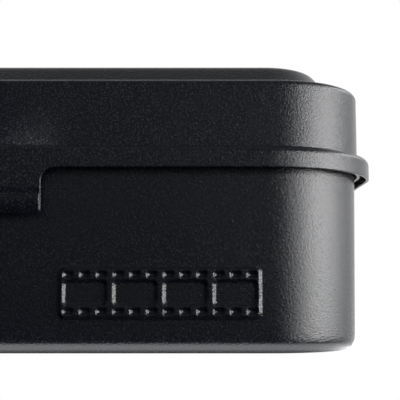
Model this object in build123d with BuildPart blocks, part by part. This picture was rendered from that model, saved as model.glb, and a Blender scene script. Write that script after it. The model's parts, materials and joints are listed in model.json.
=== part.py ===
import os
from math import radians, tan

from build123d import *

# Hinged pressed-steel case for five rolls of 35 mm film.
# X runs along the length, the front is at -Y, Z is up.
# The origin is the centre of the flat underside. All sizes are in millimetres.

# Driving dimensions: what the case holds
CASSETTE_DIAMETER = 25.0
CASSETTE_LENGTH = 51.0
CASSETTE_COUNT = 5
CASSETTE_PITCH = 26.6
END_ROOM = 5.5  # from the outer film cradle's pitch cell, and from a cassette's end, to the wall

# Driving dimensions: sheet and outline
SHEET = 0.4
BODY_LENGTH = CASSETTE_COUNT * CASSETTE_PITCH + 2 * END_ROOM
BODY_WIDTH = CASSETTE_LENGTH + 2 * END_ROOM
CORNER_RADIUS = 12.4
BOTTOM_RADIUS = 1.15
WALL_DRAFT = 0.8  # the base's walls open out upwards, in degrees
HALF_WIDTH = BODY_WIDTH / 2

# Rolled rim round the mouth of the base: an open curl that turns outwards
RIM_REACH = 0.9
RIM_TOP = 22.4
RIM_BOTTOM = 20.95
RIM_GAP = 0.5  # from the wall to the inside of the curl's outer leg
RIM_RADIUS = 0.58

# Lid
LID_OUT = 0.4  # the lid's wall stands this far outside the base's wall
LID_CORNER = 11.1
LID_TOP = 31.1
LID_EDGE_RADIUS = 0.4
SKIRT_OUT = 2.1
SKIRT_BOTTOM = 20.7
SKIRT_TOP = 23.15
SKIRT_SHOULDER = 0.8
PANEL_TOP = 34.05
PANEL_FOOT_INSET = 3.0  # from the lid's wall to the foot of the panel's sloping side
PANEL_FOOT_CORNER = 8.7
PANEL_SLOPE = 40.0  # of the panel's side, in degrees from upright
PANEL_SHOULDER = 1.8
PANEL_FOOT = 0.6

# Thumb tab on the front of the lid, with an open hem that leans outwards
TAB_HALF = BODY_LENGTH / 2 - 36.85
TAB_BOTTOM = 15.45
TAB_FILLET = 1.5
HEM_TOP = 17.9
HEM_GAP = 0.25
HEM_LEAN = 0.2
HEM_RADIUS = HEM_GAP / 2 + SHEET / 2 - 0.01

# Wedge that carries the lid's front wall out to the tab
RAMP_TOP = 30.3
RAMP_BOTTOM = SKIRT_TOP - SKIRT_SHOULDER
RAMP_START = TAB_HALF + 3.0
RAMP_END = TAB_HALF - 7.0

# Relief on the front of the base: a strip of film, as a generic sign
RELIEF_RIGHT = BODY_LENGTH / 2 - 12.45
RELIEF_LENGTH = 22.4
RELIEF_BOTTOM = 4.0
RELIEF_HEIGHT = 5.5
RELIEF_RISE = 0.33
RELIEF_CORNER = 0.6
FRAME_COUNT = 4
FRAME_SPACING = 0.9  # between neighbouring windows
FRAME_BAND = 1.4  # height of the strip's perforated edge
FRAME_CORNER = 0.5
HOLES_PER_FRAME = 3
HOLE_LENGTH = 0.9
HOLE_HEIGHT = 0.6
HOLE_CORNER = 0.15

# Hinges at the back
HINGE_X = 42.0
LEAF_WIDTH = 24.0
LEAF_SHEET = 0.6
PIN_RADIUS = 0.75
PIN_CLEARANCE = 0.05
PIN_HEAD = 0.45
PIN_HEAD_RADIUS = 0.31
BORE_RADIUS = PIN_RADIUS + PIN_CLEARANCE
PIVOT_OUT = 3.75
PIVOT_Y = HALF_WIDTH + PIVOT_OUT
PIVOT_Z = 20.6
FINGER_WIDTH = LEAF_WIDTH / 3
FINGER_GAP = 0.2
JOG_SHARE = 0.6  # share of the height between plate and pivot that the finger runs beside the pivot
BEND_RADIUS = 0.7
KNUCKLE_SLOT = 7.0
PLATE_CORNER = 1.5
RIVET_SPACING = 14.0
RIVET_RADIUS = 0.8
RIVET_HEAD_RADIUS = 1.5
RIVET_HEAD_HEIGHT = 0.6
RIVET_HEAD_DOME = 0.5
RIVET_FOOT_HEIGHT = 0.5
RIVET_FOOT_DOME = 0.25
RIVET_CLEARANCE = 0.02
BASE_RIVET_Z = 12.0
LID_RIVET_Z = 27.9
BASE_PLATE_REACH = 3.8  # from the rivets' line to the plate's top and bottom edges
LID_PLATE_REACH = 2.6

# Tray and lid pad
TRAY_WALL = 1.2
TRAY_FOOT = SHEET + 0.05
TRAY_DECK = 15.2
TRAY_EDGE = 0.95
TRAY_CLEARANCE = 1.0
CRADLE_RADIUS = CASSETTE_DIAMETER / 2 + 0.4
CRADLE_LENGTH = CASSETTE_LENGTH + 1.0
THUMB_LENGTH = (CASSETTE_COUNT - 0.4) * CASSETTE_PITCH
THUMB_WIDTH = 20.0
THUMB_FLOOR = 8.5
PAD_CLEARANCE = 1.0
PAD_BOTTOM = 27.6
PAD_TOP = PANEL_TOP - SHEET - 0.05
PAD_TOP_RADIUS = 0.6
PAD_BOTTOM_RADIUS = 1.0


def outline(grow):
    """Rounded rectangle that stands outside the base's wall by grow."""
    RectangleRounded(BODY_LENGTH + 2 * grow, BODY_WIDTH + 2 * grow, CORNER_RADIUS + grow)


def wall_draw(z):
    """How far the base's wall, at height z, stands inside its outline at the rim."""
    return (RIM_TOP - z) * tan(radians(WALL_DRAFT))


def lid_outline(shrink):
    """Rounded rectangle of the lid's wall, drawn in by shrink."""
    grow = LID_OUT - shrink
    RectangleRounded(BODY_LENGTH + 2 * grow, BODY_WIDTH + 2 * grow, LID_CORNER - shrink)


def panel_outline(shrink):
    """Rounded rectangle of the raised panel's foot, drawn in by shrink."""
    grow = LID_OUT - PANEL_FOOT_INSET - shrink
    RectangleRounded(BODY_LENGTH + 2 * grow, BODY_WIDTH + 2 * grow, PANEL_FOOT_CORNER - shrink)


def rivet_holes(height):
    """Cuts both hinges' rivet holes through the back wall, in the part being built."""
    for hinge_x in (-HINGE_X, HINGE_X):
        with Locations(Plane.XZ.offset(-HALF_WIDTH)):
            with Locations((hinge_x, height)):
                with GridLocations(RIVET_SPACING, 1, 2, 1):
                    Cylinder(RIVET_RADIUS + RIVET_CLEARANCE, 4 * SHEET, mode=Mode.SUBTRACT)


os.makedirs("parts", exist_ok=True)

# ---- base_shell: drawn tray with a curled rim and a raised film-strip sign ----
with BuildPart() as sign:
    frame_pitch = RELIEF_LENGTH / FRAME_COUNT
    hole_pitch = frame_pitch / HOLES_PER_FRAME
    window_length = frame_pitch - FRAME_SPACING
    window_height = RELIEF_HEIGHT - 2 * FRAME_BAND
    sign_centre = (RELIEF_RIGHT - RELIEF_LENGTH / 2, RELIEF_BOTTOM + RELIEF_HEIGHT / 2)
    with BuildSketch(Plane.XZ.offset(HALF_WIDTH - wall_draw(sign_centre[1]) - SHEET / 2)):
        with Locations(sign_centre):
            RectangleRounded(RELIEF_LENGTH, RELIEF_HEIGHT, RELIEF_CORNER)
            with GridLocations(frame_pitch, 1, FRAME_COUNT, 1):
                RectangleRounded(window_length, window_height, FRAME_CORNER, mode=Mode.SUBTRACT)
            with GridLocations(hole_pitch, RELIEF_HEIGHT - FRAME_BAND, HOLES_PER_FRAME * FRAME_COUNT, 2):
                RectangleRounded(HOLE_LENGTH, HOLE_HEIGHT, HOLE_CORNER, mode=Mode.SUBTRACT)
    extrude(amount=SHEET / 2 + RELIEF_RISE)

with BuildPart() as base_shell:
    with BuildSketch(Plane.XY):
        outline(-wall_draw(0))
    extrude(amount=RIM_TOP, taper=-WALL_DRAFT)
    fillet(base_shell.edges().group_by(Axis.Z)[0], radius=BOTTOM_RADIUS)
    with BuildSketch(Plane.XY.offset(RIM_BOTTOM)):
        outline(RIM_REACH)
    extrude(amount=RIM_TOP - RIM_BOTTOM)
    fillet(base_shell.edges().group_by(Axis.Z)[-1], radius=RIM_RADIUS)
    with BuildSketch(Plane.XY.offset(RIM_BOTTOM)):
        outline(RIM_GAP)
        offset(amount=-RIM_GAP, mode=Mode.SUBTRACT)
    extrude(amount=RIM_TOP - RIM_BOTTOM - SHEET, mode=Mode.SUBTRACT)
    with BuildSketch(Plane.XY.offset(SHEET)):
        outline(-SHEET - wall_draw(SHEET))
    extrude(amount=RIM_TOP, taper=-WALL_DRAFT, mode=Mode.SUBTRACT)
    inner_floor = base_shell.faces().filter_by(Axis.Z).group_by(Axis.Z)[1].sort_by(SortBy.AREA)[-1]
    fillet(inner_floor.edges(), radius=BOTTOM_RADIUS - SHEET)
    add(sign.part)
    rivet_holes(BASE_RIVET_Z)
base_shell.part.label = "base_shell"
export_step(base_shell.part, "parts/base_shell.step")


# ---- lid_shell: raised panel, wall, stepped skirt and hemmed thumb tab ----
def ramp_corners(foot_out, shift):
    """Corners, in the YZ plane, of the wedge that carries the lid's front wall out to the tab."""
    front = -HALF_WIDTH + shift
    return [
        (front - LID_OUT, RAMP_TOP),
        (front - foot_out, RAMP_BOTTOM),
        (front + SHEET / 4, RAMP_BOTTOM),
        (front + SHEET / 4, RAMP_TOP),
    ]


# Each station is a place along X and how far the wedge's foot stands out there.
ramp_stations = [
    (-RAMP_START, LID_OUT),
    (-RAMP_END, SKIRT_OUT),
    (RAMP_END, SKIRT_OUT),
    (RAMP_START, LID_OUT),
]

with BuildPart() as ramp_outside:
    for station_x, foot_out in ramp_stations:
        with BuildSketch(Plane.YZ.offset(station_x)):
            with BuildLine():
                Polyline(*ramp_corners(foot_out, 0), close=True)
            make_face()
    loft(ruled=True)

with BuildPart() as ramp_inside:
    for station_x, foot_out in ramp_stations:
        with BuildSketch(Plane.YZ.offset(station_x)):
            with BuildLine():
                Polyline(*ramp_corners(foot_out, SHEET), close=True)
            make_face()
    loft(ruled=True)

with BuildPart() as lid_cavity:
    with BuildSketch(Plane.XY.offset(SKIRT_BOTTOM)):
        outline(SKIRT_OUT - SHEET)
    extrude(amount=SKIRT_TOP - SHEET - SKIRT_BOTTOM)
    fillet(lid_cavity.edges().group_by(Axis.Z)[-1], radius=SKIRT_SHOULDER - SHEET)
    with BuildSketch(Plane.XY.offset(SKIRT_BOTTOM)):
        lid_outline(SHEET)
    extrude(amount=LID_TOP - SHEET - SKIRT_BOTTOM)
    with BuildSketch(Plane.XY.offset(LID_TOP - SHEET)):
        panel_outline(SHEET * tan(radians(45 - PANEL_SLOPE / 2)))
    extrude(amount=PANEL_TOP - LID_TOP, taper=PANEL_SLOPE)
    fillet(lid_cavity.edges().group_by(Axis.Z)[-1], radius=PANEL_SHOULDER - SHEET)
    add(ramp_inside.part)

with BuildPart() as lid_shell:
    with BuildSketch(Plane.XY.offset(SKIRT_BOTTOM)):
        outline(SKIRT_OUT)
    extrude(amount=SKIRT_TOP - SKIRT_BOTTOM)
    fillet(lid_shell.edges().group_by(Axis.Z)[-1], radius=SKIRT_SHOULDER)
    with BuildSketch(Plane.XY.offset(SKIRT_BOTTOM)):
        lid_outline(0)
    extrude(amount=LID_TOP - SKIRT_BOTTOM)
    fillet(lid_shell.edges().group_by(Axis.Z)[-1], radius=LID_EDGE_RADIUS)
    with BuildSketch(Plane.XY.offset(LID_TOP)):
        panel_outline(0)
    extrude(amount=PANEL_TOP - LID_TOP, taper=PANEL_SLOPE)
    fillet(lid_shell.edges().group_by(Axis.Z)[-1], radius=PANEL_SHOULDER)
    ledge = lid_shell.faces().filter_by(Axis.Z).filter_by_position(Axis.Z, LID_TOP - 0.01, LID_TOP + 0.01)[0]
    fillet(ledge.inner_wires()[0].edges(), radius=PANEL_FOOT)
    add(ramp_outside.part)
    add(lid_cavity.part, mode=Mode.SUBTRACT)
    # The tab hangs from the skirt; its sides run into the skirt with a small fillet.
    tab_back = -HALF_WIDTH - SKIRT_OUT + SHEET
    hem_middle = TAB_BOTTOM + SHEET / 2
    hem_points = [
        (tab_back - SHEET / 2, hem_middle + HEM_GAP + SHEET),
        (tab_back - SHEET / 2, hem_middle),
        (tab_back - 3 * SHEET / 2 - HEM_GAP, hem_middle),
        (tab_back - 3 * SHEET / 2 - HEM_GAP - HEM_LEAN, HEM_TOP),
    ]
    with BuildSketch(Plane.XZ.offset(-tab_back)):
        with BuildLine():
            Polyline(
                (-TAB_HALF - TAB_FILLET, SKIRT_BOTTOM + SHEET),
                (-TAB_HALF - TAB_FILLET, SKIRT_BOTTOM),
                (-TAB_HALF, SKIRT_BOTTOM),
                (-TAB_HALF, hem_points[0][1]),
                (TAB_HALF, hem_points[0][1]),
                (TAB_HALF, SKIRT_BOTTOM),
                (TAB_HALF + TAB_FILLET, SKIRT_BOTTOM),
                (TAB_HALF + TAB_FILLET, SKIRT_BOTTOM + SHEET),
                close=True,
            )
        tab_face = make_face()
        tab_roots = [
            corner
            for corner in tab_face.vertices()
            if abs(abs(corner.X) - TAB_HALF) < 0.01 and abs(corner.Y - SKIRT_BOTTOM) < 0.01
        ]
        fillet(tab_roots, radius=TAB_FILLET - 0.02)
    extrude(amount=SHEET)
    # Hem: the tab's foot turns outwards and back up, and leans away from the tab.
    with BuildSketch(Plane.YZ.offset(-TAB_HALF)):
        with BuildLine():
            FilletPolyline(*hem_points, radius=HEM_RADIUS)
        trace(line_width=SHEET)
    extrude(amount=2 * TAB_HALF)
    rivet_holes(LID_RIVET_Z)
lid_shell.part.label = "lid_shell"
export_step(lid_shell.part, "parts/lid_shell.step")


# ---- hinge leaves: stamped strips rolled round the pin ----
def leaf_path(plate_out, plate_end, bend_z):
    """Middle line of a leaf's finger, from its plate to the side of the knuckle."""
    plate_y = HALF_WIDTH + plate_out + LEAF_SHEET / 2
    knuckle_side = PIVOT_Y - BORE_RADIUS - LEAF_SHEET / 2
    return [
        (plate_y, plate_end),
        (plate_y, bend_z),
        (knuckle_side, PIVOT_Z + (bend_z - PIVOT_Z) * JOG_SHARE),
        (knuckle_side, PIVOT_Z),
    ]


base_bend_z = BASE_RIVET_Z + BASE_PLATE_REACH + BEND_RADIUS / 3
base_plate_in = wall_draw(BASE_RIVET_Z + BASE_PLATE_REACH)  # the plate's top edge rests on the sloping wall
lid_bend_z = LID_RIVET_Z - LID_PLATE_REACH - BEND_RADIUS / 6

for side, hinge_x in (("left", -HINGE_X), ("right", HINGE_X)):
    with BuildPart() as hinge_base_leaf:
        with BuildSketch(Plane.YZ.offset(hinge_x - FINGER_WIDTH / 2 + FINGER_GAP / 2)):
            with BuildLine():
                base_path = leaf_path(-base_plate_in, base_bend_z - 2 * BEND_RADIUS, base_bend_z)
                FilletPolyline(*base_path, radius=BEND_RADIUS)
            trace(line_width=LEAF_SHEET)
            with Locations((PIVOT_Y, PIVOT_Z)):
                Circle(BORE_RADIUS + LEAF_SHEET)
                Circle(BORE_RADIUS, mode=Mode.SUBTRACT)
        extrude(amount=FINGER_WIDTH - FINGER_GAP)
        with BuildSketch(Plane.XZ.offset(base_plate_in - HALF_WIDTH)):
            with Locations((hinge_x, BASE_RIVET_Z)):
                RectangleRounded(LEAF_WIDTH, 2 * BASE_PLATE_REACH, PLATE_CORNER)
                with GridLocations(RIVET_SPACING, 1, 2, 1):
                    Circle(RIVET_RADIUS + RIVET_CLEARANCE, mode=Mode.SUBTRACT)
        extrude(amount=-LEAF_SHEET)
    hinge_base_leaf.part.label = "hinge_base_leaf_" + side
    export_step(hinge_base_leaf.part, "parts/hinge_base_leaf_" + side + ".step")

    with BuildPart() as hinge_lid_leaf:
        with BuildSketch(Plane.YZ.offset(hinge_x - LEAF_WIDTH / 2)):
            with BuildLine():
                lid_path = leaf_path(LID_OUT, lid_bend_z + BEND_RADIUS, lid_bend_z)
                FilletPolyline(*lid_path, radius=BEND_RADIUS)
            trace(line_width=LEAF_SHEET)
            with Locations((PIVOT_Y, PIVOT_Z)):
                Circle(BORE_RADIUS + LEAF_SHEET)
                Circle(BORE_RADIUS, mode=Mode.SUBTRACT)
        extrude(amount=LEAF_WIDTH)
        with Locations((hinge_x, PIVOT_Y, PIVOT_Z)):
            Box(FINGER_WIDTH + FINGER_GAP, 2 * PIVOT_OUT, KNUCKLE_SLOT, mode=Mode.SUBTRACT)
        with BuildSketch(Plane.XZ.offset(-HALF_WIDTH - LID_OUT)):
            with Locations((hinge_x, LID_RIVET_Z)):
                RectangleRounded(LEAF_WIDTH, 2 * LID_PLATE_REACH, PLATE_CORNER)
                with GridLocations(RIVET_SPACING, 1, 2, 1):
                    Circle(RIVET_RADIUS + RIVET_CLEARANCE, mode=Mode.SUBTRACT)
        extrude(amount=-LEAF_SHEET)
    hinge_lid_leaf.part.label = "hinge_lid_leaf_" + side
    export_step(hinge_lid_leaf.part, "parts/hinge_lid_leaf_" + side + ".step")

# ---- hinge pins, peened over at both ends, and domed rivets ----
for side, hinge_x in (("left", -HINGE_X), ("right", HINGE_X)):
    with BuildPart() as hinge_pin:
        with BuildSketch(Plane.YZ.offset(hinge_x)):
            with Locations((PIVOT_Y, PIVOT_Z)):
                Circle(PIN_RADIUS)
        extrude(amount=LEAF_WIDTH / 2 + PIN_CLEARANCE + PIN_HEAD, both=True)
        for end in (-1, 1):
            with BuildSketch(Plane.YZ.offset(hinge_x + end * (LEAF_WIDTH / 2 + PIN_CLEARANCE))):
                with Locations((PIVOT_Y, PIVOT_Z)):
                    Circle(PIN_RADIUS + PIN_HEAD)
            extrude(amount=end * PIN_HEAD)
        for end in (0, -1):
            fillet(hinge_pin.edges().group_by(Axis.X)[end], radius=PIN_HEAD_RADIUS)
    hinge_pin.part.label = "hinge_pin_" + side
    export_step(hinge_pin.part, "parts/hinge_pin_" + side + ".step")

    base_foot_in = wall_draw(BASE_RIVET_Z - RIVET_HEAD_RADIUS)
    for leaf, inner_y, outer_y, rivet_z in (
        ("base", HALF_WIDTH - SHEET - base_foot_in, HALF_WIDTH - base_plate_in + LEAF_SHEET, BASE_RIVET_Z),
        ("lid", HALF_WIDTH - SHEET + LID_OUT, HALF_WIDTH + LID_OUT + LEAF_SHEET, LID_RIVET_Z),
    ):
        rivet_discs = [
            (inner_y - RIVET_FOOT_HEIGHT, inner_y, RIVET_HEAD_RADIUS),
            (inner_y, outer_y, RIVET_RADIUS),
            (outer_y, outer_y + RIVET_HEAD_HEIGHT, RIVET_HEAD_RADIUS),
        ]
        with BuildPart() as leaf_rivets:
            for start_y, end_y, disc_radius in rivet_discs:
                with BuildSketch(Plane.XZ.offset(-start_y)):
                    with Locations((hinge_x, rivet_z)):
                        with GridLocations(RIVET_SPACING, 1, 2, 1):
                            Circle(disc_radius)
                extrude(amount=start_y - end_y)
            fillet(leaf_rivets.edges().group_by(Axis.Y)[-1], radius=RIVET_HEAD_DOME)
            fillet(leaf_rivets.edges().group_by(Axis.Y)[0], radius=RIVET_FOOT_DOME)
        leaf_rivets.part.label = leaf + "_leaf_rivets_" + side
        export_step(leaf_rivets.part, "parts/" + leaf + "_leaf_rivets_" + side + ".step")

# ---- film_tray: formed sheet with a cradle for each cassette ----
tray_grow = -SHEET - TRAY_CLEARANCE
cradle_z = TRAY_FOOT + TRAY_WALL + CRADLE_RADIUS

with BuildPart() as tray_void:
    with BuildSketch(Plane.XY.offset(TRAY_FOOT)):
        outline(tray_grow - TRAY_WALL)
    extrude(amount=TRAY_DECK - TRAY_WALL - TRAY_FOOT)
    with Locations((0, 0, cradle_z)):
        with GridLocations(CASSETTE_PITCH, 1, CASSETTE_COUNT, 1):
            Cylinder(
                CRADLE_RADIUS + TRAY_WALL,
                CRADLE_LENGTH + 2 * TRAY_WALL,
                rotation=(90, 0, 0),
                mode=Mode.SUBTRACT,
            )
    with Locations((0, 0, THUMB_FLOOR - TRAY_WALL)):
        Box(
            THUMB_LENGTH + 2 * TRAY_WALL,
            THUMB_WIDTH + 2 * TRAY_WALL,
            TRAY_DECK,
            align=(Align.CENTER, Align.CENTER, Align.MIN),
            mode=Mode.SUBTRACT,
        )

with BuildPart() as film_tray:
    with BuildSketch(Plane.XY.offset(TRAY_FOOT)):
        outline(tray_grow)
    extrude(amount=TRAY_DECK - TRAY_FOOT)
    fillet(film_tray.edges().group_by(Axis.Z)[-1], radius=TRAY_EDGE)
    add(tray_void.part, mode=Mode.SUBTRACT)
    with Locations((0, 0, cradle_z)):
        with GridLocations(CASSETTE_PITCH, 1, CASSETTE_COUNT, 1):
            Cylinder(CRADLE_RADIUS, CRADLE_LENGTH, rotation=(90, 0, 0), mode=Mode.SUBTRACT)
    with Locations((0, 0, THUMB_FLOOR)):
        Box(
            THUMB_LENGTH,
            THUMB_WIDTH,
            TRAY_DECK,
            align=(Align.CENTER, Align.CENTER, Align.MIN),
            mode=Mode.SUBTRACT,
        )
film_tray.part.label = "film_tray"
export_step(film_tray.part, "parts/film_tray.step")

# ---- lid_pad: foam pad glued inside the raised panel ----
with BuildPart() as lid_pad:
    with BuildSketch(Plane.XY.offset(PAD_BOTTOM)):
        panel_outline(SHEET + PAD_CLEARANCE + (PANEL_TOP - LID_TOP) * tan(radians(PANEL_SLOPE)))
    extrude(amount=PAD_TOP - PAD_BOTTOM)
    fillet(lid_pad.edges().group_by(Axis.Z)[-1], radius=PAD_TOP_RADIUS)
    fillet(lid_pad.edges().group_by(Axis.Z)[0], radius=PAD_BOTTOM_RADIUS)
lid_pad.part.label = "lid_pad"
export_step(lid_pad.part, "parts/lid_pad.step")
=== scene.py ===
import json
import math

import bmesh
import bpy
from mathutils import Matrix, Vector


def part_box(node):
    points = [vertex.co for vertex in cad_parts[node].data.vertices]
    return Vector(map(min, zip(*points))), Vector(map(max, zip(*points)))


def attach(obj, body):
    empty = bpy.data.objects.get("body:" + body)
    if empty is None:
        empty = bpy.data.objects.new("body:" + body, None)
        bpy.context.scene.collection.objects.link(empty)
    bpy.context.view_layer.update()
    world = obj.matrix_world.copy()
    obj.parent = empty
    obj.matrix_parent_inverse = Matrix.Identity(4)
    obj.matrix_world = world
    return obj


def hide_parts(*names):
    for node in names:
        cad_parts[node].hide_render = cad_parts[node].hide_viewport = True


# Looks for the hinged film storage case. Lengths are in millimetres up to the point where a mesh is made.
MM = 0.001

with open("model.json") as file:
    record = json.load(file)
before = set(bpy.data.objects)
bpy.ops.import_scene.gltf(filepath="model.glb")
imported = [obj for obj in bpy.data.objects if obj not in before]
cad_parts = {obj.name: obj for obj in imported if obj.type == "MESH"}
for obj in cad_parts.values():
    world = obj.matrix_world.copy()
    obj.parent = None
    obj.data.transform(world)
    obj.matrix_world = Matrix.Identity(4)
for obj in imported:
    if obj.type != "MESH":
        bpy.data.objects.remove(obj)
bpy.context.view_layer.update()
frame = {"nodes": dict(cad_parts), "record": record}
base_low, base_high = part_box("base_shell")
lid_low, lid_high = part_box("lid_shell")

# Base
SHEET = 0.4
EDGE = 0.08
EDGE_SUPPORT = 0.1
EDGE_ANGLES = [math.radians(a) for a in (30, 60, 90, 120, 150)]
CORNER = 11.2
WALL_OUT = 0.2
RIM_REACH = 0.9
RIM_GAP = 0.5
RIM_BOTTOM = 20.95
RIM_TOP = 22.4
WALL_DRAFT = math.tan(math.radians(0.8))
HALF_LENGTH = base_high.x / MM - RIM_REACH
HALF_WIDTH = base_high.y / MM - RIM_REACH
FOOT_OUT = WALL_OUT - RIM_TOP * WALL_DRAFT

# Lid: raised panel, wall, stepped skirt
LID_OUT = 0.4
LID_CORNER = 10.3
LID_TOP = 31.1
LID_EDGE = 0.7
PANEL_TOP = 34.05
PANEL_FOOT_OUT = -2.6
PANEL_TOP_OUT = -5.08
PANEL_CORNER = 11.3
PANEL_TOP_RADIUS = 1.8
PANEL_FOOT_RADIUS = 0.6
CREASE_Z = 23.15
SKIRT_OUT = 2.1
SKIRT_SHOULDER = 0.8
SKIRT_CORNER = 11.9
SKIRT_BOTTOM = 20.62

# Thumb tab and its hem
TAB_HALF = HALF_LENGTH - 36.85
TAB_FILLET = 1.5
TAB_ROOT = SKIRT_BOTTOM - TAB_FILLET
SHEET_HALF = TAB_HALF - EDGE
HEM_BOTTOM = 15.45
HEM_TOP = 17.7
RAMP_TOP = LID_TOP - 0.8
RAMP_START = TAB_HALF + 3
RAMP_END = TAB_HALF - 7

# Foam pad
PAD_CORNER = 5.0
PAD_MIDDLE = 0.4
PAD_STEPS = (16, 48)
PAD_SWELL = 0.06
PAD_TOP_RADIUS = 0.6
PAD_BOTTOM_RADIUS = 1.4

# Relief
RELIEF_RIGHT = HALF_LENGTH - 12.45
RELIEF_LENGTH = 22.4
RELIEF_BOTTOM = 4.0
RELIEF_HEIGHT = 5.5
RELIEF_RISE = 0.33


def spread(start, end, count):
    """Evenly spaced values from start to end, both included."""
    return [start + (end - start) * k / (count - 1) for k in range(count)]


def smoothstep(edge_0, edge_1, value):
    t = min(1.0, max(0.0, (value - edge_0) / (edge_1 - edge_0)))
    return t * t * (3 - 2 * t)


def rounded(corners, step_degrees=9.0):
    """Polyline through the corners (a, b, radius), each corner replaced by an arc of its radius."""
    points = []
    for k, (a, b, radius) in enumerate(corners):
        if radius == 0 or k in (0, len(corners) - 1):
            points.append((a, b))
            continue
        here = Vector((a, b))
        back = (Vector(corners[k - 1][:2]) - here).normalized()
        ahead = (Vector(corners[k + 1][:2]) - here).normalized()
        half = back.angle(ahead) / 2
        centre = here + (back + ahead).normalized() * (radius / math.sin(half))
        from_centre = here + back * (radius / math.tan(half)) - centre
        turn = math.pi - 2 * half
        if back.x * ahead.y - back.y * ahead.x > 0:
            turn = -turn
        steps = max(2, round(abs(math.degrees(turn)) / step_degrees))
        for j in range(steps + 1):
            angle = turn * j / steps
            cos, sin = math.cos(angle), math.sin(angle)
            points.append(
                (
                    centre.x + from_centre.x * cos - from_centre.y * sin,
                    centre.y + from_centre.x * sin + from_centre.y * cos,
                )
            )
    return points


def subdivide(points, longest):
    """The polyline with extra points, so that no piece of it is longer than longest."""
    out = [points[0]]
    for start, end in zip(points, points[1:]):
        pieces = max(1, math.ceil(math.dist(start, end) / longest))
        for j in range(1, pieces + 1):
            out.append(tuple(a + (b - a) * j / pieces for a, b in zip(start, end)))
    return out


class Column:
    """A place on the way round the case: an outward normal, and x or y where the wall is straight."""

    def __init__(self, normal, x=None, y=None, side_x=0, side_y=0):
        self.normal = normal
        self.x = x
        self.y = y
        self.side_x = side_x
        self.side_y = side_y

    def at(self, out, z, corner):
        """The point that stands outside the base's wall by out; corner is the corner's radius at the base's wall."""
        x, y = self.x, self.y
        if x is None:
            x = self.side_x * (HALF_LENGTH - corner) + self.normal[0] * (corner + out)
        if y is None:
            y = self.side_y * (HALF_WIDTH - corner) + self.normal[1] * (corner + out)
        return Vector((x, y, z)) * MM


def perimeter(front_stops, corner_steps=24, side_steps=10):
    """Columns round the case, anticlockwise from the front's left end, whose straight part has the given stops."""
    columns = [Column((0, -1), x=x, side_y=-1) for x in front_stops]
    straight_x, straight_y = HALF_LENGTH - 13, HALF_WIDTH - 13

    def corner(side_x, side_y, start):
        for degrees in spread(start, start + 90, corner_steps + 1):
            angle = math.radians(degrees)
            columns.append(Column((math.cos(angle), math.sin(angle)), side_x=side_x, side_y=side_y))

    corner(1, -1, -90)
    columns.extend(Column((1, 0), y=y, side_x=1) for y in spread(-straight_y, straight_y, side_steps))
    corner(1, 1, 0)
    columns.extend(Column((0, 1), x=x, side_y=1) for x in spread(straight_x, -straight_x, 2 * side_steps))
    corner(-1, 1, 90)
    columns.extend(Column((-1, 0), y=y, side_x=-1) for y in spread(straight_y, -straight_y, side_steps))
    corner(-1, -1, 180)
    return columns


def finish_mesh(name, bm, body, node, material):
    """Turns the bmesh into a smooth piece that rides on its body, and hides the CAD node it takes the place of."""
    mesh = bpy.data.meshes.new(name)
    bm.to_mesh(mesh)
    bm.free()
    for polygon in mesh.polygons:
        polygon.use_smooth = True
    mesh.materials.append(material)
    piece = bpy.data.objects.new(name, mesh)
    bpy.context.scene.collection.objects.link(piece)
    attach(piece, body)
    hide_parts(node)
    return piece


def add_grid(bm, rows, wrap):
    """Quads between neighbouring rows of vertices; wrap closes each row into a ring."""
    for upper, lower in zip(rows, rows[1:]):
        count = len(upper)
        for k in range(count if wrap else count - 1):
            n = (k + 1) % count
            bm.faces.new((upper[n], upper[k], lower[k], lower[n]))


def thicken(bm):
    """Turns the open surface into sheet metal: an inner skin behind it, and a full-round edge all round."""
    bmesh.ops.remove_doubles(bm, verts=bm.verts, dist=0.003 * MM)
    bm.normal_update()
    skin = list(bm.faces)
    border = [edge for edge in bm.edges if edge.is_boundary]
    depth = SHEET * MM
    inner = {v: bm.verts.new(v.co - v.normal * depth) for v in list(bm.verts)}
    outward = {}
    for edge in border:
        loop = edge.link_loops[0]
        along = loop.link_loop_next.vert.co - loop.vert.co
        across = along.cross(loop.face.normal).normalized()
        for v in edge.verts:
            outward[v] = outward.get(v, Vector()) + across
    arcs = {}
    for v, across in outward.items():
        normal = v.normal.copy()
        across = (across - normal * across.dot(normal)).normalized()
        middle = v.co - normal * (depth / 2)
        arc = [v]
        for angle in EDGE_ANGLES:
            arc.append(bm.verts.new(middle + normal * (math.cos(angle) * depth / 2) + across * (math.sin(angle) * EDGE * MM)))
        arcs[v] = arc + [inner[v]]
    for face in skin:
        bm.faces.new([inner[v] for v in reversed(face.verts)])
    for edge in border:
        loop = edge.link_loops[0]
        start, end = arcs[loop.vert], arcs[loop.link_loop_next.vert]
        for k in range(len(start) - 1):
            bm.faces.new((start[k + 1], end[k + 1], end[k], start[k]))


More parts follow.
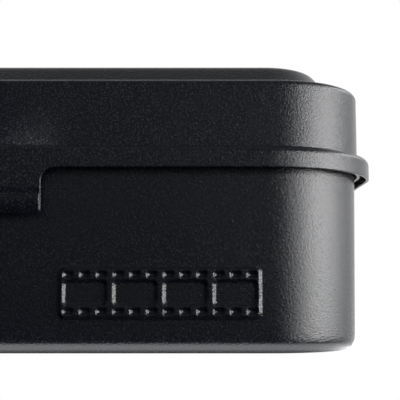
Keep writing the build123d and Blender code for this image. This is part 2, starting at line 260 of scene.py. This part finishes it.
# ---- materials ----
class Nodes:
    """Short calls for building a node tree."""

    def __init__(self, name="", tree=None):
        self.tree = tree
        if tree is None:
            self.material = bpy.data.materials.new(name)
            self.material.use_nodes = True
            self.tree = self.material.node_tree
            self.shader = self.tree.nodes["Principled BSDF"]

    def add(self, kind, values=None, **settings):
        node = self.tree.nodes.new(kind)
        for key, value in settings.items():
            setattr(node, key, value)
        for key, value in (values or {}).items():
            if isinstance(value, bpy.types.NodeSocket):
                self.tree.links.new(value, node.inputs[key])
            else:
                node.inputs[key].default_value = value
        return node

    def set(self, key, value):
        if isinstance(value, bpy.types.NodeSocket):
            self.tree.links.new(value, self.shader.inputs[key])
        else:
            self.shader.inputs[key].default_value = value

    def noise(self, coordinates, size, detail=2.0, roughness=0.5):
        """Noise with features of about size millimetres."""
        node = self.add(
            "ShaderNodeTexNoise",
            {"Vector": coordinates, "Scale": 1 / size, "Detail": detail, "Roughness": roughness},
        )
        return node.outputs["Fac"]

    def range(self, value, low, high, out_low, out_high):
        node = self.add(
            "ShaderNodeMapRange",
            {"Value": value, "From Min": low, "From Max": high, "To Min": out_low, "To Max": out_high},
        )
        return node.outputs["Result"]

    def smooth(self, value, low, high, out_low, out_high):
        """Like range, with a soft start and end."""
        node = self.add(
            "ShaderNodeMapRange",
            {"Value": value, "From Min": low, "From Max": high, "To Min": out_low, "To Max": out_high},
            interpolation_type="SMOOTHSTEP",
        )
        return node.outputs["Result"]

    def math(self, operation, first, second=0.0):
        return self.add("ShaderNodeMath", {0: first, 1: second}, operation=operation).outputs["Value"]

    def coordinates(self):
        """The piece's own coordinates in millimetres."""
        source = self.add("ShaderNodeTexCoord")
        scaled = self.add(
            "ShaderNodeVectorMath", {0: source.outputs["Object"], 1: (1 / MM,) * 3}, operation="MULTIPLY"
        )
        return scaled.outputs["Vector"]


def powder_coat(name, flecks):
    """Black powder coat: fine orange-peel grain, slightly blue, with pale flecks."""
    n = Nodes(name)
    at = n.coordinates()
    grain = n.noise(at, 0.2, detail=1.5, roughness=0.6)
    fine = n.noise(at, 0.12, detail=1.0)
    patches = n.noise(at, 14.0, detail=3.0)
    body = n.add(
        "ShaderNodeMix", {0: patches, 6: (0.0024, 0.0031, 0.0056, 1), 7: (0.0038, 0.0045, 0.0076, 1)}, data_type="RGBA"
    )
    speck = n.smooth(n.noise(at, 0.17, detail=0.5), 0.46, 0.76, 0.0, flecks)
    coloured = n.add("ShaderNodeMix", {0: speck, 6: body.outputs[2], 7: (0.019, 0.021, 0.028, 1)}, data_type="RGBA")
    n.set("Base Color", coloured.outputs[2])
    n.set("Roughness", n.range(patches, 0.3, 0.7, 0.20, 0.25))
    n.set("IOR", 1.5)
    coarse_bump = n.add("ShaderNodeBump", {"Strength": 1.0, "Distance": 0.052 * MM, "Height": grain})
    fine_bump = n.add(
        "ShaderNodeBump",
        {"Strength": 1.0, "Distance": 0.010 * MM, "Height": fine, "Normal": coarse_bump.outputs["Normal"]},
    )
    n.set("Normal", fine_bump.outputs["Normal"])
    return n.material


def formed_plastic():
    """Charcoal formed sheet: matt, lightly pebbled, rubbed paler in patches."""
    n = Nodes("tray_plastic")
    at = n.coordinates()
    patches = n.noise(at, 9.0, detail=4.0)
    pebbles = n.noise(at, 0.5, detail=2.0)
    rubbed = n.smooth(patches, 0.4, 0.75, 0, 1)
    colour = n.add("ShaderNodeMix", {0: rubbed, 6: (0.030, 0.031, 0.034, 1), 7: (0.052, 0.053, 0.056, 1)}, data_type="RGBA")
    n.set("Base Color", colour.outputs[2])
    n.set("Roughness", n.range(patches, 0.3, 0.7, 0.62, 0.44))
    bump = n.add("ShaderNodeBump", {"Strength": 1.0, "Distance": 0.03 * MM, "Height": pebbles})
    n.set("Normal", bump.outputs["Normal"])
    return n.material


def foam():
    """Charcoal foam with small open cells, their hollows painted darker as shade."""
    n = Nodes("foam")
    at = n.coordinates()
    cells = n.add("ShaderNodeTexVoronoi", {"Vector": at, "Scale": 1.6}, feature="F1").outputs["Distance"]
    patches = n.noise(at, 7.0, detail=3.0)
    depth = n.smooth(cells, 0.15, 0.6, 0, 1)
    # Painted shade: the colour goes dark towards the cell hollows, where the bump also sinks.
    painted_cell_shade = n.add("ShaderNodeMix", {0: depth, 6: (0.012, 0.012, 0.014, 1), 7: (0.075, 0.076, 0.082, 1)}, data_type="RGBA")
    shade = n.add("ShaderNodeMix", {0: 1.0, 6: painted_cell_shade.outputs[2], 7: (0.8, 0.8, 0.8, 1)}, data_type="RGBA", blend_type="MULTIPLY")
    n.set("Base Color", shade.outputs[2])
    n.set("Roughness", n.range(patches, 0.3, 0.7, 0.86, 0.97))
    n.set("Specular IOR Level", 0.2)
    height = n.math("ADD", depth, n.math("MULTIPLY", patches, 0.4))
    bump = n.add("ShaderNodeBump", {"Strength": 1.0, "Distance": 0.22 * MM, "Height": height})
    n.set("Normal", bump.outputs["Normal"])
    return n.material


def steel(name, dark, pale, roughness, metal, wear):
    """Steel with fine lines along X and worn, paler patches."""
    n = Nodes(name)
    at = n.coordinates()
    stretched = n.add("ShaderNodeVectorMath", {0: at, 1: (0.15, 1.0, 1.0)}, operation="MULTIPLY").outputs["Vector"]
    lines = n.noise(stretched, 0.12, detail=3.0)
    patches = n.noise(at, 2.5, detail=4.0)
    worn = n.smooth(n.math("ADD", patches, n.math("MULTIPLY", lines, 0.3)), 0.62, 0.85, 0, wear)
    colour = n.add("ShaderNodeMix", {0: worn, 6: (*dark, 1), 7: (*pale, 1)}, data_type="RGBA")
    n.set("Base Color", colour.outputs[2])
    n.set("Metallic", n.math("MAXIMUM", worn, metal))
    n.set("Roughness", n.range(lines, 0.3, 0.7, roughness - 0.06, roughness + 0.08))
    bump = n.add("ShaderNodeBump", {"Strength": 1.0, "Distance": 0.012 * MM, "Height": lines})
    n.set("Normal", bump.outputs["Normal"])
    return n.material


base_coat = powder_coat("base_coat", 0.7)
lid_coat = powder_coat("lid_coat", 1.0)
CAD_FINISHES = {
    "tray_plastic": formed_plastic(),
    "hinge_steel": steel("hinge_steel", (0.016, 0.017, 0.020), (0.20, 0.20, 0.205), 0.36, 0.0, 0.5),
    "pin_steel": steel("pin_steel", (0.42, 0.42, 0.43), (0.56, 0.56, 0.57), 0.28, 1.0, 1.0),
    "rivet_steel": steel("rivet_steel", (0.045, 0.046, 0.050), (0.28, 0.28, 0.285), 0.34, 0.8, 0.7),
}
EDGE_BEVELS = {"tray_plastic": 0.18, "hinge_steel": 0.09}
for subpart in frame["record"]["subparts"]:
    finish = CAD_FINISHES.get(subpart["material_slot"])
    if finish is None:
        continue
    node = frame["nodes"][subpart["node"]]
    node.data.materials.clear()
    node.data.materials.append(finish)
    if subpart["material_slot"] in EDGE_BEVELS:
        bevel = node.modifiers.new("edges", "BEVEL")
        bevel.width = EDGE_BEVELS[subpart["material_slot"]] * MM
        bevel.segments = 2
        bevel.limit_method = "ANGLE"
        bevel.angle_limit = math.radians(50)


# ---- base shell ----
def strip_height(x, z):
    """Height, 0 to 1, of the raised film-strip sign at a place on the front wall."""
    soft = 0.22

    def box_distance(px, pz, half_x, half_z, radius):
        dx, dz = abs(px) - half_x + radius, abs(pz) - half_z + radius
        return math.hypot(max(dx, 0), max(dz, 0)) + min(max(dx, dz), 0) - radius

    cx = RELIEF_RIGHT - RELIEF_LENGTH / 2
    cz = RELIEF_BOTTOM + RELIEF_HEIGHT / 2
    px, pz = x - cx, z - cz
    distance = box_distance(px, pz, RELIEF_LENGTH / 2, RELIEF_HEIGHT / 2, 0.6)
    if distance > soft:
        return 0.0
    pitch = RELIEF_LENGTH / 4
    in_frame = (px / pitch) % 1.0 * pitch - pitch / 2
    window = box_distance(in_frame, pz, pitch / 2 - 0.45, RELIEF_HEIGHT / 2 - 1.4, 0.5)
    hole_pitch = pitch / 3
    in_hole = (px / hole_pitch) % 1.0 * hole_pitch - hole_pitch / 2
    hole = box_distance(in_hole, abs(pz) - RELIEF_HEIGHT / 2 + 0.7, 0.45, 0.3, 0.15)
    distance = max(distance, -window, -hole)
    return 1 - smoothstep(-soft, soft, distance)


def build_base():
    profile = rounded(
        [
            (-4.0, 0.0, 0),
            (FOOT_OUT - 0.62, 0.0, 0.8),
            (FOOT_OUT - 0.06, 1.12, 0.9),
            (FOOT_OUT, 1.8, 6.0),
            (WALL_OUT, RIM_TOP - SHEET, (RIM_GAP - WALL_OUT) / 2 - 0.001),
            (RIM_GAP, RIM_TOP - SHEET, (RIM_GAP - WALL_OUT) / 2 - 0.001),
            (RIM_GAP, RIM_BOTTOM + EDGE + EDGE_SUPPORT, 0),
            (RIM_GAP, RIM_BOTTOM + EDGE, 0),
        ]
    )
    step = 0.12
    fine_low, fine_high = RELIEF_BOTTOM - 0.4, RELIEF_BOTTOM + RELIEF_HEIGHT + 0.4
    levels = [2.4, 3.0] + spread(fine_low, fine_high, round((fine_high - fine_low) / step) + 1) + [11.5, 14.0, 17.0, 19.5]
    rows = []
    for start, end in zip(profile, profile[1:]):
        rows.append(start)
        if end[1] - start[1] > 5:
            for z in levels:
                share = (z - start[1]) / (end[1] - start[1])
                rows.append((start[0] + (end[0] - start[0]) * share, z))
    rows.append(profile[-1])
    left, right = RELIEF_RIGHT - RELIEF_LENGTH - 0.4, RELIEF_RIGHT + 0.4
    stops = spread(13 - HALF_LENGTH, left, 24)[:-1] + spread(left, right - 0.08, round((right - left) / step) + 1)
    columns = perimeter(stops)
    bm = bmesh.new()
    rings = []
    for out, z in rows:
        ring = []
        for column in columns:
            rise = 0.0
            if column.normal == (0, -1) and column.x is not None and fine_low < z < fine_high:
                rise = RELIEF_RISE * strip_height(column.x, z)
            ring.append(bm.verts.new(column.at(out + rise, z, CORNER)))
        rings.append(ring)
    rings.reverse()
    add_grid(bm, rings, wrap=True)
    bm.faces.new(list(reversed(rings[-1])))
    thicken(bm)
    piece = finish_mesh("base_shell_coated", bm, "base", "base_shell", base_coat)
    return piece


# ---- lid shell ----
def root_z(x):
    """Height of the skirt's lower edge, or of the tab's root line, at a place along the front."""
    beyond = abs(x) - SHEET_HALF
    radius = TAB_FILLET + EDGE
    if beyond <= 0:
        return TAB_ROOT
    if beyond >= radius:
        return SKIRT_BOTTOM + EDGE
    return TAB_ROOT + math.sqrt(radius**2 - (radius - beyond) ** 2)


def hem_path():
    """Front surface of the tab below its root line, round the hem's fold and up its outer leg."""
    return rounded(
        [
            (SKIRT_OUT, TAB_ROOT, 0),
            (SKIRT_OUT, HEM_TOP + 0.75, 2.0),
            (SKIRT_OUT - 0.2, HEM_TOP - 0.2, 2.0),
            (SKIRT_OUT - 0.2, HEM_BOTTOM + SHEET, 0.11),
            (SKIRT_OUT + 0.06, HEM_BOTTOM + SHEET, 0.11),
            (SKIRT_OUT + 0.28, HEM_BOTTOM + 1.5, 2.0),
            (SKIRT_OUT + 0.24, HEM_TOP - EDGE - EDGE_SUPPORT, 0),
            (SKIRT_OUT + 0.24, HEM_TOP - EDGE, 0),
        ]
    )


def lid_rows():
    """Rows of the lid's outer surface as (out, z, corner radius at the base's wall), from the panel down."""
    profile = subdivide(
        rounded(
            [
                (-8.0, PANEL_TOP, 0),
                (PANEL_TOP_OUT, PANEL_TOP, PANEL_TOP_RADIUS),
                (PANEL_FOOT_OUT, LID_TOP, PANEL_FOOT_RADIUS),
                (LID_OUT, LID_TOP, LID_EDGE),
                (LID_OUT, CREASE_Z, 0.15),
                (SKIRT_OUT, CREASE_Z, SKIRT_SHOULDER),
                (SKIRT_OUT, SKIRT_BOTTOM + EDGE + EDGE_SUPPORT, 0),
                (SKIRT_OUT, SKIRT_BOTTOM + EDGE, 0),
            ],
            step_degrees=7.5,
        ),
        0.8,
    )
    rows = []
    for out, z in profile:
        if z > LID_TOP - 0.5 * LID_EDGE:
            corner = LID_CORNER + (PANEL_CORNER - LID_CORNER) * smoothstep(LID_OUT, PANEL_FOOT_OUT, out)
        elif out <= LID_OUT:
            corner = LID_CORNER
        else:
            corner = LID_CORNER + (SKIRT_CORNER - LID_CORNER) * smoothstep(LID_OUT, SKIRT_OUT - SKIRT_SHOULDER, out)
        rows.append((out, z, corner))
    return rows


def build_lid():
    rows = lid_rows()
    radius = TAB_FILLET + EDGE
    fillet_stops = [SHEET_HALF + radius * (1 - math.cos(math.radians(a))) for a in spread(0, 90, 13)]
    right_half = spread(0, 30, 9) + spread(31, SHEET_HALF - EDGE_SUPPORT, 14) + fillet_stops + spread(37, 40, 8)
    right_half += spread(40, HALF_LENGTH - 13, 6)[1:]
    stops = [-x for x in reversed(right_half[1:])] + right_half
    columns = perimeter(stops)
    front_count = len(stops)
    shoulder_row = min(k for k, (out, z, corner) in enumerate(rows) if out > SKIRT_OUT - 0.001)
    shoulder_z = rows[shoulder_row][1]
    bm = bmesh.new()
    rings = [[] for _ in rows]
    for c, column in enumerate(columns):
        on_front = c < front_count
        ramp = 0.0
        if on_front:
            ramp = 1 - smoothstep(RAMP_END, RAMP_START, abs(column.x))
        for k, (out, z, corner) in enumerate(rows):
            if on_front and z < RAMP_TOP and k <= shoulder_row:
                share = (RAMP_TOP - z) / (RAMP_TOP - shoulder_z)
                out = out + (LID_OUT + (SKIRT_OUT - LID_OUT) * smoothstep(0, 1, share) - out) * ramp
            if on_front and k > shoulder_row:
                share = (shoulder_z - z) / (shoulder_z - SKIRT_BOTTOM - EDGE)
                z = shoulder_z + (root_z(column.x) - shoulder_z) * share
            rings[k].append(bm.verts.new(column.at(out, z, corner)))
    add_grid(bm, rings, wrap=True)
    bm.faces.new(rings[0])
    tab_columns = [c for c in range(front_count) if abs(columns[c].x) <= SHEET_HALF + 0.0001]
    tab_rows = [[rings[-1][c] for c in tab_columns]]
    for out, z in subdivide(hem_path(), 0.6)[1:]:
        tab_rows.append([bm.verts.new(columns[c].at(out, z, SKIRT_CORNER)) for c in tab_columns])
    add_grid(bm, tab_rows, wrap=False)
    thicken(bm)
    piece = finish_mesh("lid_shell_coated", bm, "lid", "lid_shell", lid_coat)
    return piece


# ---- foam pad ----
def build_pad():
    """Cut foam pad: a soft-edged slab whose faces rise and fall a little."""
    low, high = (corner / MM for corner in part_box("lid_pad"))
    middle = PAD_MIDDLE - high.y
    profile = rounded(
        [
            (middle, high.z, 0),
            (0.0, high.z, PAD_TOP_RADIUS),
            (0.0, low.z, PAD_BOTTOM_RADIUS),
            (middle, low.z, 0),
        ],
        step_degrees=15,
    )
    bm = bmesh.new()
    rings = []
    for out, z in subdivide(profile, 1.5):
        radius = max(PAD_CORNER + out, 0.05)
        ends = []
        for side_x, side_y, start in ((1, -1, -90), (1, 1, 0), (-1, 1, 90), (-1, -1, 180)):
            for degrees in spread(start, start + 90, 10):
                angle = math.radians(degrees)
                x = side_x * (high.x + out - radius) + math.cos(angle) * radius
                y = side_y * (high.y + out - radius) + math.sin(angle) * radius
                ends.append(Vector((x, y)))
        ring = []
        for k, (start, end) in enumerate(zip(ends, ends[1:] + ends[:1])):
            pieces = PAD_STEPS[k // 10 % 2] if k % 10 == 9 else 1
            ring.extend(start.lerp(end, j / pieces) for j in range(pieces))
        row = []
        for x, y in ring:
            swell = math.sin(x / 7.3 + 0.8) * math.cos(y / 6.1 - 0.4) + math.sin(x / 3.1 + y / 4.3)
            row.append(bm.verts.new(Vector((x, y, z + PAD_SWELL * swell)) * MM))
        rings.append(row)
    add_grid(bm, rings, wrap=True)
    bm.faces.new(rings[0])
    bm.faces.new(list(reversed(rings[-1])))
    bmesh.ops.remove_doubles(bm, verts=bm.verts, dist=0.003 * MM)
    return finish_mesh("lid_pad_foam", bm, "lid", "lid_pad", foam())


build_base()
build_lid()
build_pad()


# ---- floor, light, camera ----
def stage_floor():
    """Floor that the camera sees as plain white; for reflections it glows as a painted lit strip where it is very
    near, with painted contact shadow where it is nearest.
    """
    n = Nodes("floor")
    size = 2.0
    mesh = bpy.data.meshes.new("floor")
    mesh.from_pydata([(-size, -size, 0), (size, -size, 0), (size, size, 0), (-size, size, 0)], [], [(0, 1, 2, 3)])
    mesh.materials.append(n.material)
    floor = bpy.data.objects.new("floor", mesh)
    floor.location.z = -0.05 * MM
    bpy.context.scene.collection.objects.link(floor)
    path = n.add("ShaderNodeLightPath")
    distance = n.math("DIVIDE", path.outputs["Ray Length"], MM)
    # Painted light for reflections: the floor glows up to 3.4 near the case, and goes dark as painted contact shadow
    # where a ray meets it within 0.05 to 0.8 mm.
    painted_glow_and_contact_shadow = n.smooth(distance, 0.05, 0.8, 0.0, 3.4)
    lit = n.add("ShaderNodeEmission", {"Color": (1, 1, 1, 1), "Strength": painted_glow_and_contact_shadow})
    clear = n.add("ShaderNodeBsdfTransparent")
    strip = n.add(
        "ShaderNodeMixShader",
        {0: n.smooth(distance, 1.1, 3.0, 0.0, 1.0), 1: lit.outputs[0], 2: clear.outputs[0]},
    )
    white = n.add("ShaderNodeEmission", {"Color": (1, 1, 1, 1), "Strength": 1.0})
    seen = n.add("ShaderNodeMixShader", {0: path.outputs["Is Camera Ray"], 1: strip.outputs[0], 2: white.outputs[0]})
    n.tree.links.new(seen.outputs[0], n.tree.nodes["Material Output"].inputs["Surface"])


def studio_world():
    """White backdrop behind, dim room in front, and a wide softbox at the right; the camera sees white."""
    world = bpy.data.worlds.new("studio")
    bpy.context.scene.world = world
    world.use_nodes = True
    n = Nodes(tree=world.node_tree)
    split = n.add("ShaderNodeSeparateXYZ", {"Vector": n.add("ShaderNodeTexCoord").outputs["Generated"]})
    x, y, z = (split.outputs[axis] for axis in "XYZ")
    elevation = n.math("MULTIPLY", n.math("ARCSINE", z), math.degrees(1))
    azimuth = n.math("MULTIPLY", n.math("ARCTAN2", x, n.math("MULTIPLY", y, -1.0)), math.degrees(1))
    left_room = n.smooth(elevation, -6, 12, 0.03, 0.17)
    right_room = n.smooth(elevation, 4, 14, 0.26, 0.22)
    dip = n.math("ADD", n.smooth(elevation, 17, 26, 1, 0.55), n.smooth(elevation, 50, 64, 0, 0.45))
    to_right = n.smooth(azimuth, -18, 8, 0, 1)
    front_room = n.math(
        "ADD", n.math("MULTIPLY", left_room, n.math("SUBTRACT", 1.0, to_right)), n.math("MULTIPLY", to_right, right_room)
    )
    room = n.math("MULTIPLY", n.math("MULTIPLY", front_room, dip), n.smooth(elevation, -11, 2, 0.1, 1))
    behind = n.math("MULTIPLY", n.smooth(y, -0.05, 0.45, 0.0, 1.0), n.smooth(z, 0.3, 1.0, 1.0, 0.35))
    open_room = n.math("ADD", n.math("MULTIPLY", room, n.math("SUBTRACT", 1.0, behind)), behind)
    # Softbox, by azimuth from the front towards the right, and by elevation.
    lean = n.math("MULTIPLY", n.smooth(elevation, 8.5, 12.5, 0, 22), n.smooth(elevation, 17, 22, 1, -1))
    lean = n.math("MULTIPLY", lean, n.smooth(azimuth, 8, 24, 0, 1))
    low_lean = n.smooth(elevation, -4.5, 0.5, 10, 0)
    azimuth = n.math("ADD", azimuth, n.math("ADD", lean, low_lean))
    across = n.math("MULTIPLY", n.smooth(azimuth, 32, 72, 0, 1), n.smooth(azimuth, 63, 126, 1, 0))
    upright = n.math("MULTIPLY", n.smooth(elevation, -11, -7, 0, 1), n.smooth(elevation, 20, 44, 1, 0))
    softbox = n.math("MULTIPLY", n.math("MULTIPLY", across, upright), n.smooth(elevation, -5, 2, 13.6, 11.7))
    total = n.math("ADD", open_room, softbox)
    light = n.add("ShaderNodeBackground", {"Color": (1, 1, 1, 1), "Strength": total})
    white = n.add("ShaderNodeBackground", {"Color": (1, 1, 1, 1), "Strength": 1.0})
    path = n.add("ShaderNodeLightPath")
    seen = n.add("ShaderNodeMixShader", {0: path.outputs["Is Camera Ray"], 1: light.outputs[0], 2: white.outputs[0]})
    n.tree.links.new(seen.outputs[0], n.tree.nodes["World Output"].inputs["Surface"])


stage_floor()
studio_world()

camera_data = bpy.data.cameras.new("camera")
camera_data.sensor_width = 36
camera_data.lens = 73.85
camera_data.clip_start = 0.005
camera = bpy.data.objects.new("camera", camera_data)
camera.location = Vector((HALF_LENGTH - 19.2, -HALF_WIDTH - 92.08, 7.0)) * MM
camera.rotation_euler = (math.pi / 2 + 0.11, 0, 0)
bpy.context.scene.collection.objects.link(camera)
bpy.context.scene.camera = camera
bpy.context.scene.view_settings.view_transform = "Standard"
